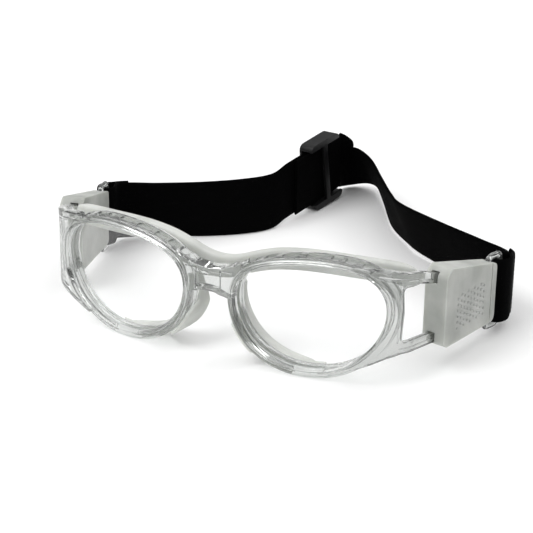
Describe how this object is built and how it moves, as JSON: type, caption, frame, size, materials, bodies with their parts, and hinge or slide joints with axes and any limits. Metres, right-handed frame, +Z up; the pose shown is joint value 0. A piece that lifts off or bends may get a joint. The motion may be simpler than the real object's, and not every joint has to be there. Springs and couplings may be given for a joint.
{
  "type": "sports protective goggles",
  "caption": "Clear one-piece sports goggles with silicone pads and side sleeves, clear lenses, and a black elastic head strap on swinging rings with a slider.",
  "frame": {"origin": "centre of the bounding box at the table that the goggles stand on", "axes": "+X to the wearer's left, +Y from the lenses towards the back of the head, +Z up"},
  "size_m": [0.1706, 0.1619, 0.0426],
  "materials": {
    "clear_polycarbonate": "polished clear moulding",
    "lens_polycarbonate": "polished clear sheet",
    "milky_silicone": "soft satin, translucent",
    "black_elastic": "matt woven elastic",
    "black_thread": "matt thread",
    "black_plastic": "satin moulding"
  },
  "bodies": {
    "goggles": {"front_frame": "clear_polycarbonate", "lens_left": "lens_polycarbonate", "lens_right": "lens_polycarbonate", "brow_pad": "milky_silicone", "nose_pad_left": "milky_silicone", "nose_pad_right": "milky_silicone", "sleeve_left": "milky_silicone", "sleeve_right": "milky_silicone", "strap_left": "black_elastic", "strap_right": "black_elastic", "bar_tack_left_front": "black_thread", "bar_tack_left_rear": "black_thread", "bar_tack_right_front": "black_thread", "bar_tack_right_rear": "black_thread"},
    "ring_left": {"strap_ring_left": "clear_polycarbonate"},
    "ring_right": {"strap_ring_right": "clear_polycarbonate"},
    "slider_body": {"slider": "black_plastic"}
  },
  "joints": [
    {"name": "ring_left_swing", "type": "hinge", "parent": "goggles", "child": "ring_left", "pos_m": [0.0797, -0.02532, 0.01636], "axis": [0, 0.0985, 0.9951], "range_deg": [-8, 8]},
    {"name": "ring_right_swing", "type": "hinge", "parent": "goggles", "child": "ring_right", "pos_m": [-0.0797, -0.02532, 0.01636], "axis": [0, 0.0985, 0.9951], "range_deg": [-8, 8]},
    {"name": "slider_slide", "type": "slide", "parent": "goggles", "child": "slider_body", "axis": [0.1649, 0.985, 0.0516], "range_m": [-0.009, 0.0012]}
  ]
}
